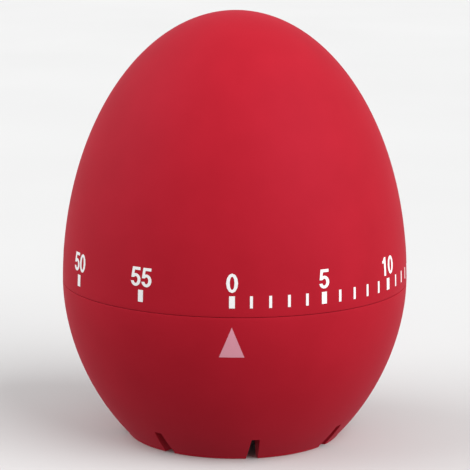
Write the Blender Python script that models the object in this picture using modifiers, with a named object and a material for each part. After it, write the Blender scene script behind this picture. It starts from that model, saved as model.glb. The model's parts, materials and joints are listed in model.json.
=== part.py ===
"""Egg-shaped 60 minute clockwork kitchen timer, with its movement and bell.

Frame: metres, +Z up. The origin is the centre of the foot rim, on the surface the timer stands on.
The pointer is at the front, towards -Y. Angles round the axis are in degrees, counter-clockwise from +X.
The upper half of the egg is the dial. It turns on the movement's main arbor, clockwise seen from above.
"""

import math

import bmesh
import bpy
from mathutils import Matrix, Vector

MM = 0.001

# ---------------------------------------------------------------- egg shells
EGG_DIAMETER = 60 * MM
EGG_HEIGHT = 74.0 * MM
SEAM_HEIGHT = 27.2 * MM  # the seam is at the egg's widest height
FOOT_RADIUS = 18.53 * MM
LOWER_POWER = 1.84  # 2 would be a plain ellipse; less is slimmer towards the foot
WALL = 2.0 * MM
SEAM_GAP = 0.36 * MM
EDGE_CHAMFER = 0.25 * MM
SHELL_STEPS = 36
SMOOTH_ANGLE = math.radians(50.0)  # edges sharper than this stay sharp in the shading

COLLAR_GAP = 0.5 * MM  # running gap between the lower shell's collar and the dial
COLLAR_WALL = 0.8 * MM
COLLAR_RISE = 2.1 * MM
COLLAR_ROOT = 3.0 * MM  # depth of the collar's foot below the seam

FLOOR_HEIGHT = 3.4 * MM  # underside of the ring that the base cover closes
FLOOR_THICKNESS = 1.6 * MM
FLOOR_OPENING = 12.5 * MM

NOTCH_COUNT = 8
NOTCH_FIRST_ANGLE = -79.5  # clear of the pointer by 10.5 degrees
NOTCH_HEIGHT = 4.3 * MM
NOTCH_FOOT_WIDTH = 2.2 * MM
NOTCH_TOP_WIDTH = 1.4 * MM

# ---------------------------------------------------------------- clearances
FIT_GAP = 0.1 * MM  # between pieces that are pressed, screwed or seated together
RUN_GAP = 0.1 * MM  # round a pivot in its hole
SAFE_GAP = 0.3 * MM  # between pieces that must not touch

# ---------------------------------------------------------------- screws
SCREW_SHANK = 0.75 * MM
SCREW_HEAD = 1.8 * MM
SCREW_HEAD_HEIGHT = 1.0 * MM
SCREW_SLOT_WIDTH = 0.5 * MM
SCREW_SLOT_DEPTH = 0.45 * MM
SCREW_BITE = 4.5 * MM
SCREW_STEPS = 10

# ---------------------------------------------------------------- base cover
COVER_THICKNESS = 1.6 * MM
COVER_EDGE_GAP = 0.4 * MM
COVER_SCREW_INSET = 1.9 * MM  # from the cover's edge to its screws
SOUND_SLOT_COUNT = 8
SOUND_SLOT_INNER = 4.0 * MM
SOUND_SLOT_OUTER = 10.5 * MM
SOUND_SLOT_HALF_ANGLE = 12.0
COVER_SCREW_ANGLES = (90.0, 210.0, 330.0)

# ---------------------------------------------------------------- movement frame
PLATE_THICKNESS = 1.0 * MM
PLATE_RISE = 0.8 * MM  # underside of the upper plate above the seam
PLATE_INSET = 1.5 * MM  # from the posts' circle in to the plates' edge
PILLAR_INSET = 1.5 * MM  # from the plates' edge in to the pillars
PILLAR_ANGLES = (20.5, 148.0, 270.0)
PILLAR_RADIUS = 1.25 * MM
PILLAR_SPIGOT = 0.85 * MM
NUT_RADIUS = 1.9 * MM
NUT_HEIGHT = 1.0 * MM
POST_RADIUS = 2.2 * MM  # the lower shell's screw posts under the upper plate's ears
POST_ANGLES = (60.0, 180.0, 300.0)

# ---------------------------------------------------------------- bell
BELL_RADIUS = 17.5 * MM
BELL_WALL = 0.8 * MM
BELL_HEIGHT = 8.6 * MM
BELL_CORNER = 4.5 * MM  # radius of the bend between its flat crown and its side
BELL_STEPS = 32
BELL_POST_RADIUS = 2.0 * MM
BELL_POST_FLANGE = 4.2 * MM
BELL_POST_SPIGOT = 3.0 * MM  # its ring in the lower plate, which is the main arbor's lower bearing
BELL_POST_SEAT = 1.0 * MM  # thickness of its flange

# ---------------------------------------------------------------- main arbor and dial drive
ARBOR_RADIUS = 2.0 * MM
ARBOR_COLLAR = 2.6 * MM
ARBOR_PIVOT = 1.4 * MM
ARBOR_FLAT = 1.3 * MM  # from the axis to the flat of the D
ARBOR_COLLAR_HEIGHT = 0.7 * MM
ARBOR_IN_HUB = 8.9 * MM
DISC_RISE = 1.5 * MM  # from the top of the trip cam up to the drive disc
DISC_THICKNESS = 1.6 * MM
DISC_EDGE_GAP = 0.5 * MM
DISC_SCREW_ANGLES = (30.0, 150.0, 270.0)
DISC_WINDOW_HALF_ANGLE = 42.0
DISC_HUB_MARGIN = 3.0 * MM  # from the hub out to the windows between the spokes
DISC_RIM_MARGIN = 4.0 * MM  # from the windows out to the screws' circle
BOSS_RADIUS = 2.2 * MM
HUB_RADIUS = 4.5 * MM
HUB_WALL_TOP = 1.0 * MM  # how far the hub rises above the arbor's end
STOP_CIRCLE = 12.0 * MM
STOP_PIN_RADIUS = 0.4 * MM
STOP_LUG_WIDTH = 0.6 * MM
STOP_LUG_LENGTH = 2.6 * MM
DIAL_TRAVEL = 352.5  # degrees, from one side of the stop pin to the other

# ---------------------------------------------------------------- wheels
PRESSURE_ANGLE = math.radians(25.0)
BACKLASH = 0.12 * MM
WHEEL_ADDENDUM = 0.75  # in modules, as the two below
PINION_ADDENDUM = 0.85
DEDENDUM = 1.15
WHEEL_THICKNESS = 0.8 * MM
PINION_LEAVES = 8
MAIN_TEETH, MAIN_MODULE = 64, 0.35 * MM
SECOND_TEETH, SECOND_MODULE = 56, 0.30 * MM
THIRD_TEETH, THIRD_MODULE = 48, 0.30 * MM
THIRD_CLEARANCE = 1.94 * MM  # between the main wheel's teeth and the third arbor
ESCAPE_CIRCLE = 16.5 * MM
PALLET_CIRCLE = 17.0 * MM
BALANCE_CIRCLE = 15.5 * MM
SMALL_ARBOR = 0.6 * MM
SMALL_PIVOT = 0.35 * MM

PINION_OVERLAP = 0.4 * MM  # how far a pinion runs past its wheel's faces
LAYER_GAP = 0.4 * MM  # between the layers of the movement

# ---------------------------------------------------------------- clutch and mainspring
RATCHET_TEETH = 18
RATCHET_RADIUS = 4.2 * MM
RATCHET_DEPTH = 0.7 * MM
CLICK_CIRCLE = 7.4 * MM
CLICK_ANGLE = 150.0
CLICK_HUB = 1.1 * MM
CLICK_HALF_WIDTH = 0.35 * MM
CLICK_SPRING_ANGLE = 205.0
CLICK_SPRING_HALF_WIDTH = 0.12 * MM
RIVET_RADIUS = 0.5 * MM
RIVET_HEAD = 0.9 * MM
RIVET_HEAD_HEIGHT = 0.3 * MM
SPRING_HEIGHT = 4.2 * MM
SPRING_THICKNESS = 0.35 * MM
SPRING_INNER = 2.6 * MM
SPRING_OUTER = 11.3 * MM
SPRING_TURNS = 5

# ---------------------------------------------------------------- escapement
ESCAPE_TEETH = 16
ESCAPE_RADIUS = 4.6 * MM
ESCAPE_ROOT = 3.3 * MM
ESCAPE_PHASE = 0.0
ESCAPE_LEAN = -3.0  # degrees by which a tooth's face leans forward
ESCAPE_RISE = 2.6 * MM  # escape wheel above the lower plate
PALLET_STANDOFF = 1.4 * MM  # from the escape wheel's tips to the pallet's axis
PALLET_PITCHES = 2.5  # pitches of the escape wheel between the two pallet pins
PALLET_PIN = 0.2 * MM
PALLET_THICKNESS = 0.7 * MM
PALLET_ARM = 0.5 * MM  # half width of its arms
PALLET_HUB = 1.2 * MM
BALANCE_CLEARANCE = 0.7 * MM  # between the balance wheel and the pallet's arbor
FORK_OVERRUN = 0.5 * MM  # how far the prongs reach past the impulse pin
PRONG_WIDTH = 0.45 * MM
IMPULSE_CIRCLE = 1.5 * MM
IMPULSE_PIN = 0.3 * MM
IMPULSE_ROLLER = 2.1 * MM
BALANCE_RADIUS = 6.2 * MM
BALANCE_RIM = 1.1 * MM
BALANCE_HUB = 1.6 * MM
BALANCE_THICKNESS = 1.0 * MM
HAIRSPRING_INNER = 1.3 * MM
HAIRSPRING_OUTER = 4.2 * MM
HAIRSPRING_TURNS = 4
HAIRSPRING_THICKNESS = 0.15 * MM
HAIRSPRING_WIDTH = 0.6 * MM
COLLET_RADIUS = 1.0 * MM
STUD_RADIUS = 0.45 * MM

# ---------------------------------------------------------------- hammer
HAMMER_CIRCLE = 20.0 * MM
HAMMER_ANGLE = 215.0
HAMMER_PIVOT = 0.5 * MM
HAMMER_HUB = 1.6 * MM
HAMMER_HEAD_RADIUS = 1.3 * MM
HAMMER_HEAD_LENGTH = 2.7 * MM
HAMMER_ARM_THICKNESS = 0.8 * MM
HAMMER_ARM_HALF_WIDTH = 1.1 * MM
HAMMER_STROKE = 1.3 * MM  # from the head at rest to the bell
HAMMER_HEAD_LAG = 35.0  # degrees round the axis from the hammer arbor to its head
CAM_RADIUS = 8.0 * MM
CAM_NOTCH_DEPTH = 1.6 * MM
CAM_NOTCH_LAG = 26.0  # degrees of notch on the side of the trip lever's arm
CAM_NOTCH_LEAD = 6.0  # degrees of notch on its other side
CAM_RAMP = 6.0  # degrees, the slope that lifts the lever when the dial is set
CAM_THICKNESS = 0.9 * MM
TRIP_LEAD = 40.0  # degrees round the axis from the hammer arbor to the trip lever's tip
TRIP_HALF_WIDTH = 0.45 * MM
HAMMER_SPRING_RADIUS = 1.5 * MM
HAMMER_SPRING_WIRE = 0.15 * MM
HAMMER_SPRING_TURNS = 3
HAMMER_SPRING_LEG = 4.0 * MM

# ---------------------------------------------------------------- sizes that follow from those above
EGG_RADIUS = EGG_DIAMETER / 2
# How far below the seam the lower curve would meet the axis, if the foot didn't cut it off.
LOWER_DEPTH = SEAM_HEIGHT / (1 - (FOOT_RADIUS / EGG_RADIUS) ** LOWER_POWER) ** (1 / LOWER_POWER)
COLLAR_OUTER = EGG_RADIUS - WALL - COLLAR_GAP
COLLAR_INNER = COLLAR_OUTER - COLLAR_WALL
POST_CIRCLE = COLLAR_INNER - SAFE_GAP - POST_RADIUS
POST_NECK = POST_RADIUS - FIT_GAP  # radius of a post's free top
PLATE_RADIUS = POST_CIRCLE - PLATE_INSET
PILLAR_CIRCLE = PLATE_RADIUS - PILLAR_INSET
DISC_SCREW_CIRCLE = POST_CIRCLE
PILOT_HOLE = SCREW_SHANK + FIT_GAP
PIVOT_HOLE = SMALL_PIVOT + RUN_GAP
STEEL_BORE = SMALL_ARBOR + FIT_GAP
RIVET_HOLE = RIVET_RADIUS + FIT_GAP
MAIN_TIP = (MAIN_TEETH / 2 + WHEEL_ADDENDUM) * MAIN_MODULE
THIRD_CIRCLE = MAIN_TIP + THIRD_CLEARANCE + SMALL_ARBOR
ESCAPE_TO_PALLET = ESCAPE_RADIUS + PALLET_STANDOFF
PALLET_TO_BALANCE = BALANCE_RADIUS + BALANCE_CLEARANCE + SMALL_ARBOR
FORK_LENGTH = PALLET_TO_BALANCE - IMPULSE_CIRCLE

# The layers of the movement, from the lower plate up. Each level is a piece's underside.
PINION_LAYER = WHEEL_THICKNESS + PINION_OVERLAP + FIT_GAP
UPPER_PLATE_LEVEL = SEAM_HEIGHT + PLATE_RISE
UPPER_PLATE_TOP = UPPER_PLATE_LEVEL + PLATE_THICKNESS
THIRD_LEVEL = UPPER_PLATE_LEVEL - LAYER_GAP - PINION_OVERLAP - WHEEL_THICKNESS
SECOND_LEVEL = THIRD_LEVEL - PINION_LAYER
MAIN_LEVEL = SECOND_LEVEL - PINION_LAYER
RATCHET_LEVEL = MAIN_LEVEL - SAFE_GAP - WHEEL_THICKNESS
SPRING_LEVEL = RATCHET_LEVEL - FIT_GAP - RIVET_HEAD_HEIGHT - SAFE_GAP - SPRING_HEIGHT
LOWER_PLATE_TOP = SPRING_LEVEL - LAYER_GAP
LOWER_PLATE_LEVEL = LOWER_PLATE_TOP - PLATE_THICKNESS
ESCAPE_LEVEL = LOWER_PLATE_TOP + ESCAPE_RISE
PALLET_LEVEL = ESCAPE_LEVEL + WHEEL_THICKNESS + LAYER_GAP
ROLLER_LEVEL = PALLET_LEVEL + PALLET_THICKNESS + LAYER_GAP
BALANCE_LEVEL = MAIN_LEVEL + WHEEL_THICKNESS + LAYER_GAP
HAIRSPRING_LEVEL = BALANCE_LEVEL + BALANCE_THICKNESS + LAYER_GAP
CAM_LEVEL = UPPER_PLATE_TOP + LAYER_GAP
HUB_LOW = CAM_LEVEL + CAM_THICKNESS + SAFE_GAP
DISC_LEVEL = CAM_LEVEL + CAM_THICKNESS + DISC_RISE
ARBOR_TOP = DISC_LEVEL + ARBOR_IN_HUB
HAMMER_ARM_LEVEL = LOWER_PLATE_LEVEL - LAYER_GAP - HAMMER_ARM_THICKNESS
BELL_TOP = HAMMER_ARM_LEVEL - LAYER_GAP
BELL_BOTTOM = BELL_TOP - BELL_HEIGHT


# ================================================================ geometry in the plane
def polar(radius, degrees):
    """A point in the plane as (x, y)."""
    angle = math.radians(degrees)
    return (radius * math.cos(angle), radius * math.sin(angle))


def bearing(start, end):
    """Direction from one point to another, in degrees."""
    return math.degrees(math.atan2(end[1] - start[1], end[0] - start[0]))


def further_round(circle_a, circle_b, distance):
    """Degrees round the axis between two arbors on these circles that stand this far apart."""
    cosine = (circle_a**2 + circle_b**2 - distance**2) / (2 * circle_a * circle_b)
    return math.degrees(math.acos(cosine))


def circle(radius, points, centre=(0.0, 0.0)):
    """Points round a whole circle."""
    return arc(radius, 0.0, 360.0 * (points - 1) / points, points, centre)


def arc(radius, first, last, points, centre=(0.0, 0.0)):
    """Points along an arc, both ends included. Angles in degrees."""
    found = []
    for i in range(points):
        x, y = polar(radius, first + (last - first) * i / (points - 1))
        found.append((centre[0] + x, centre[1] + y))
    return found


def sector(inner, outer, middle, half_angle, points=5):
    """A window bounded by two arcs and two radii."""
    first, last = middle - half_angle, middle + half_angle
    return arc(outer, first, last, points) + arc(inner, last, first, points)


def scalloped_outline(radius, circle_radius, lobe, angles, outward):
    """A disc's outline that runs out round an ear, or in round a bite, at each of these angles."""
    half = further_round(radius, circle_radius, lobe)
    side = bearing((circle_radius, 0.0), polar(radius, half))
    turn = 2 * side if outward else 2 * side - 360
    outline = []
    for n, angle in enumerate(angles):
        outline += arc(lobe, angle - side, angle - side + turn, 9, polar(circle_radius, angle))
        following = angles[n + 1] if n + 1 < len(angles) else angles[0] + 360
        first, last = angle + half, following - half
        steps = round((last - first) * SHELL_STEPS / 360)
        outline += arc(radius, first, last, steps + 1)[1:-1]
    return outline


def flank_angle(radius, teeth, module):
    """Half a tooth's angle at this radius, for an involute tooth with half the backlash taken off."""
    pitch_radius = teeth * module / 2
    base_radius = pitch_radius * math.cos(PRESSURE_ANGLE)
    rolled = math.acos(min(1.0, base_radius / radius))
    grown = math.tan(PRESSURE_ANGLE) - PRESSURE_ANGLE - (math.tan(rolled) - rolled)
    return math.pi / (2 * teeth) - BACKLASH / (4 * pitch_radius) + grown


def gear_outline(teeth, module, addendum, phase, flank_points):
    """A gear's outline. phase is the direction of one tooth's centre, in degrees."""
    pitch_radius = teeth * module / 2
    tip = pitch_radius + addendum * module
    root = pitch_radius - DEDENDUM * module
    outline = []
    for tooth in range(teeth):
        middle = math.radians(phase) + 2 * math.pi * tooth / teeth
        flank = []
        for i in range(flank_points):
            radius = root + (tip - root) * i / (flank_points - 1)
            flank.append((radius, flank_angle(radius, teeth, module)))
        for radius, half in flank:
            outline.append((radius * math.cos(middle - half), radius * math.sin(middle - half)))
        for radius, half in reversed(flank):
            outline.append((radius * math.cos(middle + half), radius * math.sin(middle + half)))
    return outline


def meshing_phase(direction, driver_teeth, driver_phase, teeth):
    """Phase of a gear whose centre lies this way from its driver's, so that a gap faces a tooth."""
    share = (direction - driver_phase) * driver_teeth / 360
    return direction + 180 - (0.5 - share) * 360 / teeth


def saw_outline(teeth, tip, root, phase, lean):
    """A ratchet or escape wheel's outline. Each tooth has a long back and a face leaning by lean degrees."""
    pitch = 360 / teeth
    outline = []
    for tooth in range(teeth):
        start = phase + tooth * pitch
        outline.append(polar(root, start))
        outline.append(polar(tip, start + lean))
        outline.append(polar(tip, start + lean + 0.14 * pitch))
        outline.append(polar(root, start + 0.45 * pitch))
    return outline


def spiral_outline(inner, outer, turns, thickness, start, points_per_turn, tail=()):
    """A flat coiled strip seen from above, from its inner end outwards. tail is its points past the coils."""
    count = turns * points_per_turn
    line = []
    for i in range(count + 1):
        share = i / count
        line.append(polar(inner + (outer - inner) * share, start + 360 * turns * share))
    line.extend(tail)
    left, right = [], []
    for i, (x, y) in enumerate(line):
        before, after = line[max(0, i - 1)], line[min(len(line) - 1, i + 1)]
        along = Vector((after[0] - before[0], after[1] - before[1])).normalized()
        left.append((x - along.y * thickness / 2, y + along.x * thickness / 2))
        right.append((x + along.y * thickness / 2, y - along.x * thickness / 2))
    return left + right[::-1]


def lever_outline(hub, arms, arc_points=7):
    """A round hub with arms, each (direction, length, half width, end), in order of direction.

    end is "round", "square", or (slot half width, slot depth) for a fork.
    """
    outline = []
    for n, (direction, length, half, end) in enumerate(arms):
        spread = math.degrees(math.asin(half / hub))
        along, across = Vector(polar(1, direction)), Vector(polar(1, direction + 90))

        def at(distance, side):
            point = along * distance + across * side
            return (point.x, point.y)

        outline.append(at(hub * math.cos(math.radians(spread)), -half))
        if end == "round":
            outline.extend(arc(half, direction - 90, direction + 90, arc_points, at(length, 0)))
        elif end == "square":
            outline.extend([at(length, -half), at(length, half)])
        else:
            slot, depth = end
            outline.extend([at(length, -half), at(length, -slot), at(length - depth, -slot)])
            outline.extend([at(length - depth, slot), at(length, slot), at(length, half)])
        outline.append(at(hub * math.cos(math.radians(spread)), half))
        following = arms[(n + 1) % len(arms)]
        gap_start = direction + spread
        gap_end = following[0] - math.degrees(math.asin(following[2] / hub))
        while gap_end <= gap_start:
            gap_end += 360
        steps = max(2, round((gap_end - gap_start) / 15))
        outline.extend(arc(hub, gap_start, gap_end, steps + 1)[1:-1])
    return outline


# ================================================================ places of the arbors
SECOND_ANGLE = 0.0
SECOND_CIRCLE = (MAIN_TEETH + PINION_LEAVES) * MAIN_MODULE / 2
SECOND_TO_THIRD = (SECOND_TEETH + PINION_LEAVES) * SECOND_MODULE / 2
THIRD_TO_ESCAPE = (THIRD_TEETH + PINION_LEAVES) * THIRD_MODULE / 2
THIRD_ANGLE = SECOND_ANGLE + further_round(SECOND_CIRCLE, THIRD_CIRCLE, SECOND_TO_THIRD)
ESCAPE_ANGLE = THIRD_ANGLE + further_round(THIRD_CIRCLE, ESCAPE_CIRCLE, THIRD_TO_ESCAPE)
PALLET_ANGLE = ESCAPE_ANGLE + further_round(ESCAPE_CIRCLE, PALLET_CIRCLE, ESCAPE_TO_PALLET)
BALANCE_ANGLE = PALLET_ANGLE + further_round(PALLET_CIRCLE, BALANCE_CIRCLE, PALLET_TO_BALANCE)
SECOND_PLACE = polar(SECOND_CIRCLE, SECOND_ANGLE)
THIRD_PLACE = polar(THIRD_CIRCLE, THIRD_ANGLE)
ESCAPE_PLACE = polar(ESCAPE_CIRCLE, ESCAPE_ANGLE)
PALLET_PLACE = polar(PALLET_CIRCLE, PALLET_ANGLE)
BALANCE_PLACE = polar(BALANCE_CIRCLE, BALANCE_ANGLE)
HAMMER_PLACE = polar(HAMMER_CIRCLE, HAMMER_ANGLE)
HEAD_CIRCLE = BELL_RADIUS - BELL_WALL - HAMMER_STROKE - HAMMER_HEAD_RADIUS
HEAD_PLACE = polar(HEAD_CIRCLE, HAMMER_ANGLE - HAMMER_HEAD_LAG)
TRIP_ANGLE = HAMMER_ANGLE + TRIP_LEAD
LUG_ANGLE = DISC_SCREW_ANGLES[1]  # the lug hangs from one of the disc's spokes
STOP_ANGLE = LUG_ANGLE + (360 - DIAL_TRAVEL) / 2  # the dial's run ends with the lug clockwise of the pin
SPRING_PILLAR_ANGLE = PILLAR_ANGLES[2]
STUD_BEARING = 200.0  # from the balance's axis to the hairspring's stud
STUD_DISTANCE = HAIRSPRING_OUTER + HAIRSPRING_THICKNESS / 2 + FIT_GAP + STUD_RADIUS
STUD_PLACE = tuple(a + b for a, b in zip(BALANCE_PLACE, polar(STUD_DISTANCE, STUD_BEARING)))
ARBOR_FOOT = LOWER_PLATE_LEVEL - BELL_POST_SEAT  # lower end of the main arbor, inside the bell post


# ================================================================ the egg's curves
def lower_radius(height, inset=0.0):
    """The lower shell's radius at a height, with its curve moved inwards by inset."""
    drop = (SEAM_HEIGHT - height) / (LOWER_DEPTH - inset)
    return (EGG_RADIUS - inset) * (1 - max(0.0, drop) ** LOWER_POWER) ** (1 / LOWER_POWER)


def upper_point(share, inset=0.0):
    """A point (radius, height) on the dial's ellipse, from the seam at 0 to the crown at 1."""
    angle = share * math.pi / 2
    rise = EGG_HEIGHT - SEAM_HEIGHT - inset
    return ((EGG_RADIUS - inset) * math.cos(angle), SEAM_HEIGHT + rise * math.sin(angle))


def upper_radius(height, inset=0.0):
    rise = EGG_HEIGHT - SEAM_HEIGHT - inset
    return (EGG_RADIUS - inset) * math.sqrt(1 - ((height - SEAM_HEIGHT) / rise) ** 2)


# ================================================================ Blender helpers
def clear_scene():
    for obj in list(bpy.data.objects):
        bpy.data.objects.remove(obj, do_unlink=True)


def new_collection(name):
    made = bpy.data.collections.new(name)
    bpy.context.scene.collection.children.link(made)
    return made


def new_material(name, colour, roughness, metallic=0.0):
    made = bpy.data.materials.new(name)
    made.use_nodes = True
    shader = made.node_tree.nodes["Principled BSDF"]
    shader.inputs["Base Color"].default_value = (*colour, 1.0)
    shader.inputs["Roughness"].default_value = roughness
    shader.inputs["Metallic"].default_value = metallic
    return made


clear_scene()
TIMER = new_collection("kitchen_timer")
CUTTERS = new_collection("cutters")
RED = new_material("soft_touch_red", (0.60, 0.02, 0.03), 0.5)
BLACK = new_material("black_abs", (0.02, 0.02, 0.02), 0.45)
NYLON = new_material("white_nylon", (0.80, 0.79, 0.74), 0.4)
STEEL = new_material("steel", (0.55, 0.55, 0.56), 0.3, 1.0)
SPRING_STEEL = new_material("spring_steel", (0.16, 0.18, 0.24), 0.3, 1.0)
BRASS = new_material("brass", (0.72, 0.52, 0.22), 0.3, 1.0)
BELL_METAL = new_material("nickel_plate", (0.66, 0.65, 0.62), 0.15, 1.0)


def add(name, data, material, parent=None, place=(0.0, 0.0, 0.0)):
    """Links a piece into the timer. place is relative to the parent."""
    obj = bpy.data.objects.new(name, data)
    TIMER.objects.link(obj)
    if material is not None:
        obj.data.materials.append(material)
    obj.parent = parent
    obj.location = place
    return obj


def as_cutter(obj):
    """Takes an object out of the timer: it only shapes others."""
    for owner in list(obj.users_collection):
        owner.objects.unlink(obj)
    CUTTERS.objects.link(obj)
    obj.hide_render = True
    obj.display_type = "WIRE"
    return obj


def group(name, centre):
    """An empty on a vertical joint axis, which a moving body's pieces hang from."""
    empty = bpy.data.objects.new(name, None)
    TIMER.objects.link(empty)
    empty.location = (centre[0], centre[1], 0.0)
    return empty


def shade_round(mesh):
    """Smooth shading across a round side's faces, with its hard edges kept."""
    mesh.shade_smooth()
    mesh.set_sharp_from_angle(angle=SMOOTH_ANGLE)


def flat(name, outline, low, high, material, parent=None, holes=(), centre=(0.0, 0.0)):
    """A flat piece: an outline with holes, extruded from height low to high. Returned as a mesh object."""
    curve = bpy.data.curves.new(name, "CURVE")
    curve.dimensions = "2D"
    curve.fill_mode = "BOTH"
    curve.extrude = (high - low) / 2
    for points in (outline, *holes):
        spline = curve.splines.new("POLY")
        spline.points.add(len(points) - 1)
        spline.use_cyclic_u = True
        for target, (x, y) in zip(spline.points, points):
            target.co = (x, y, 0.0, 1.0)
    source = bpy.data.objects.new(name + "_outline", curve)
    CUTTERS.objects.link(source)
    bpy.context.view_layer.update()
    evaluated = source.evaluated_get(bpy.context.evaluated_depsgraph_get())
    mesh = bpy.data.meshes.new_from_object(evaluated)
    bpy.data.objects.remove(source)
    shape = bmesh.new()
    shape.from_mesh(mesh)
    bmesh.ops.remove_doubles(shape, verts=shape.verts, dist=0.001 * MM)
    bmesh.ops.recalc_face_normals(shape, faces=shape.faces)
    shape.to_mesh(mesh)
    shape.free()
    shade_round(mesh)
    mesh.name = name
    return add(name, mesh, material, parent, (centre[0], centre[1], (low + high) / 2))


def turned(name, profile, material, parent=None, centre=(0.0, 0.0), steps=16, closed=False):
    """A turned piece. The profile of (radius, height) runs down its outer side, top to bottom."""
    mesh = bpy.data.meshes.new(name)
    count = len(profile)
    edges = [(i, i + 1) for i in range(count - 1)]
    if closed:
        edges.append((count - 1, 0))
    mesh.from_pydata([(radius, 0.0, height) for radius, height in profile], edges, [])
    obj = add(name, mesh, material, parent, (centre[0], centre[1], 0.0))
    screw = obj.modifiers.new("turn", "SCREW")
    screw.axis = "Z"
    screw.steps = steps
    screw.render_steps = steps
    screw.use_merge_vertices = True
    screw.merge_threshold = 0.005 * MM
    screw.use_smooth_shade = steps > SCREW_STEPS
    return obj


def rod(name, radius, low, high, material, parent=None, centre=(0.0, 0.0), steps=12):
    """A plain cylinder from height low to high."""
    shape = bmesh.new()
    bmesh.ops.create_cone(
        shape, cap_ends=True, segments=steps, radius1=radius, radius2=radius, depth=high - low
    )
    mesh = bpy.data.meshes.new(name)
    shape.to_mesh(mesh)
    shape.free()
    shade_round(mesh)
    return add(name, mesh, material, parent, (centre[0], centre[1], (low + high) / 2))


def box(name, size, middle, degrees, material, parent=None):
    """A box of this size round its middle point, turned round Z."""
    shape = bmesh.new()
    bmesh.ops.create_cube(shape, size=1.0)
    bmesh.ops.scale(shape, vec=size, verts=shape.verts)
    bmesh.ops.rotate(shape, matrix=Matrix.Rotation(math.radians(degrees), 3, "Z"), verts=shape.verts)
    mesh = bpy.data.meshes.new(name)
    shape.to_mesh(mesh)
    shape.free()
    return add(name, mesh, material, parent, middle)


def boolean(obj, other, operation):
    modifier = obj.modifiers.new(operation.lower(), "BOOLEAN")
    modifier.operation = operation
    modifier.solver = "EXACT"
    modifier.object = as_cutter(other)
    return obj


def wire(name, points, radius, material, parent=None):
    """A round wire along a list of points."""
    curve = bpy.data.curves.new(name, "CURVE")
    curve.dimensions = "3D"
    curve.bevel_depth = radius
    curve.bevel_resolution = 2
    curve.use_fill_caps = True
    spline = curve.splines.new("POLY")
    spline.points.add(len(points) - 1)
    for target, point in zip(spline.points, points):
        target.co = (*point, 1.0)
    return add(name, curve, material, parent)


def screw(name, centre, seat, towards, parent=None, bite=SCREW_BITE):
    """A slotted pan head screw. seat is the height under its head; towards is 1 if it points up, or -1."""
    under = seat - towards * FIT_GAP
    top = under - towards * SCREW_HEAD_HEIGHT
    crown = 0.25 * SCREW_HEAD_HEIGHT
    tip = under + towards * bite
    profile = [
        (0.0, top),
        (0.7 * SCREW_HEAD, top),
        (SCREW_HEAD, top + towards * 2 * crown),
        (SCREW_HEAD, under),
        (SCREW_SHANK, under),
        (SCREW_SHANK, tip - towards * SCREW_SHANK),
        (0.0, tip),
    ]
    if towards > 0:
        profile.reverse()
    obj = turned(name, profile, STEEL, parent, centre, SCREW_STEPS)
    slot_middle = (*centre, top)
    slot_size = (3 * SCREW_HEAD, SCREW_SLOT_WIDTH, 2 * SCREW_SLOT_DEPTH)
    slot = box(name + "_slot", slot_size, slot_middle, 37.0 * len(name), None, parent)
    return boolean(obj, slot, "DIFFERENCE")


# ================================================================ shells
def shell_boss(name, angle, circle_radius, radius, low, high, core):
    """A screw boss that runs out from its round inner side into the shell's wall."""
    stadium = [
        (0.0, -radius),
        (EGG_RADIUS - circle_radius, -radius),
        (EGG_RADIUS - circle_radius, radius),
        (0.0, radius),
    ]
    outline = stadium + arc(radius, 90, 270, 7)[1:-1]
    boss = flat(name, outline, low, high, None, None, (), polar(circle_radius, angle))
    boss.rotation_euler.z = math.radians(angle)
    return as_cutter(boolean(boss, core, "INTERSECT"))


def make_lower_shell():
    """The fixed half: foot rim with sound notches, floor ring, collar and three screw posts."""
    seam = SEAM_HEIGHT - SEAM_GAP / 2
    floor_top = FLOOR_HEIGHT + FLOOR_THICKNESS
    rings = 11
    outer = [(COLLAR_OUTER, SEAM_HEIGHT + COLLAR_RISE), (COLLAR_OUTER, seam)]
    outer.append((EGG_RADIUS - EDGE_CHAMFER, seam))
    for i in range(rings):
        height = (seam - EDGE_CHAMFER) * (1 - i / (rings - 1)) ** 1.25
        outer.append((lower_radius(height), height))
    rim = FOOT_RADIUS - WALL
    under = [(rim, 0.0), (rim, FLOOR_HEIGHT), (FLOOR_OPENING, FLOOR_HEIGHT)]
    under.append((FLOOR_OPENING, floor_top))
    inner = []
    root = seam - COLLAR_ROOT
    for i in range(7):
        height = floor_top + (root - floor_top) * (i / 6) ** 1.25
        inner.append((lower_radius(height, WALL), height))
    inner += [(COLLAR_INNER, seam - COLLAR_WALL), (COLLAR_INNER, SEAM_HEIGHT + COLLAR_RISE)]
    shell = turned("lower_shell", outer + under + inner, RED, steps=SHELL_STEPS, closed=True)

    middle = WALL / 2
    heights = [SEAM_HEIGHT * (1 - i / 10) for i in range(11)]
    profile = [(0.0, SEAM_HEIGHT)] + [(lower_radius(z, middle), z) for z in heights] + [(0.0, 0.0)]
    core = as_cutter(turned("lower_core", profile, None, steps=SHELL_STEPS))
    post_top = UPPER_PLATE_LEVEL - FIT_GAP
    merge_top = SEAM_HEIGHT - SEAM_GAP
    for n, angle in enumerate(POST_ANGLES):
        centre = polar(POST_CIRCLE, angle)
        foot_part = shell_boss(f"post_{n}", angle, POST_CIRCLE, POST_RADIUS, FLOOR_HEIGHT, merge_top, core)
        boolean(shell, foot_part, "UNION")
        top = rod(f"post_top_{n}", POST_NECK, merge_top - 2 * MM, post_top, None, None, centre, 16)
        boolean(shell, top, "UNION")
        span = (post_top - SCREW_BITE - MM, post_top + MM)
        pilot = rod(f"post_pilot_{n}", PILOT_HOLE, *span, None, None, centre)
        boolean(shell, pilot, "DIFFERENCE")
    for n, centre in enumerate(cover_screw_places()):
        pilot = rod(f"floor_pilot_{n}", PILOT_HOLE, FLOOR_HEIGHT - MM, floor_top + MM, None, None, centre)
        boolean(shell, pilot, "DIFFERENCE")
    return boolean(shell, notch_cutter(), "DIFFERENCE")


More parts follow.
